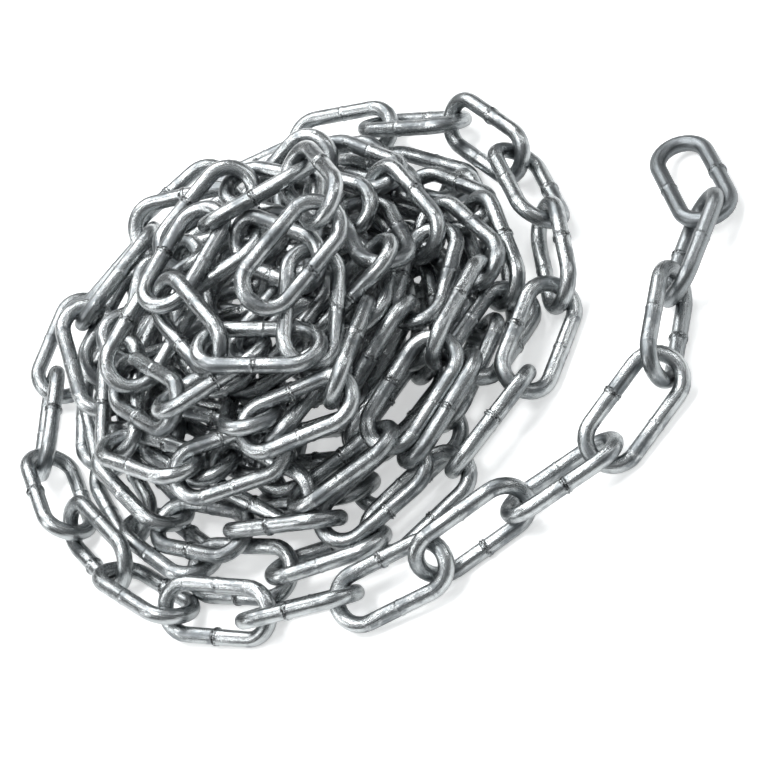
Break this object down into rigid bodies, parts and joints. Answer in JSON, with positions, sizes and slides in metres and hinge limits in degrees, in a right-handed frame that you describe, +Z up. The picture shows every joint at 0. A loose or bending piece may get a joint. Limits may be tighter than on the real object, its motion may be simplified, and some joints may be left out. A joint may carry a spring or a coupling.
{
  "type": "heap of steel chain",
  "caption": "Loose length of welded long-link steel chain, heaped in rough coils on the floor with its free end led round the front; the end link's eye takes a hook or shackle.",
  "frame": {"origin": "on the floor, at the middle of the heap's outline seen from above, the free end included", "axes": "+Z up from the floor; the free end runs round the -Y side, and the end link lies towards +X"},
  "size_m": [0.2996, 0.2862, 0.088],
  "materials": {
    "zinc_plated_steel": "bright zinc plate over drawn bar, glossy, with fine draw lines along the bar and a butt weld at mid-length of one side of each link"
  },
  "bodies": {
    "root": {"link_001": "zinc_plated_steel", "link_002": "zinc_plated_steel", "link_003": "zinc_plated_steel", "link_004": "zinc_plated_steel", "link_005": "zinc_plated_steel", "link_006": "zinc_plated_steel", "link_007": "zinc_plated_steel", "link_008": "zinc_plated_steel", "link_009": "zinc_plated_steel", "link_010": "zinc_plated_steel", "link_011": "zinc_plated_steel", "link_012": "zinc_plated_steel", "links_013_015": "zinc_plated_steel", "links_016_018": "zinc_plated_steel", "links_019_021": "zinc_plated_steel", "links_022_023": "zinc_plated_steel", "links_024_026": "zinc_plated_steel", "links_027_029": "zinc_plated_steel", "links_030_032": "zinc_plated_steel", "links_033_034": "zinc_plated_steel", "links_035_037": "zinc_plated_steel", "links_038_040": "zinc_plated_steel", "links_041_043": "zinc_plated_steel", "links_044_045": "zinc_plated_steel", "links_046_048": "zinc_plated_steel", "links_049_051": "zinc_plated_steel", "links_052_053": "zinc_plated_steel", "links_054_056": "zinc_plated_steel", "links_057_059": "zinc_plated_steel", "links_060_062": "zinc_plated_steel", "links_063_064": "zinc_plated_steel", "links_065_067": "zinc_plated_steel", "links_068_070": "zinc_plated_steel", "links_071_073": "zinc_plated_steel", "links_074_075": "zinc_plated_steel", "links_076_078": "zinc_plated_steel", "links_079_081": "zinc_plated_steel", "links_082_083": "zinc_plated_steel", "links_084_086": "zinc_plated_steel", "links_087_089": "zinc_plated_steel", "links_090_092": "zinc_plated_steel", "links_093_094": "zinc_plated_steel", "links_095_097": "zinc_plated_steel", "links_098_100": "zinc_plated_steel", "links_101_103": "zinc_plated_steel", "links_104_105": "zinc_plated_steel", "links_106_108": "zinc_plated_steel", "links_109_111": "zinc_plated_steel", "links_112_113": "zinc_plated_steel", "links_114_116": "zinc_plated_steel", "links_117_119": "zinc_plated_steel", "links_120_122": "zinc_plated_steel", "links_123_124": "zinc_plated_steel", "links_125_127": "zinc_plated_steel", "links_128_130": "zinc_plated_steel", "links_131_133": "zinc_plated_steel", "links_134_135": "zinc_plated_steel", "links_136_138": "zinc_plated_steel", "links_139_141": "zinc_plated_steel", "links_142_143": "zinc_plated_steel"}
  },
  "joints": []
}
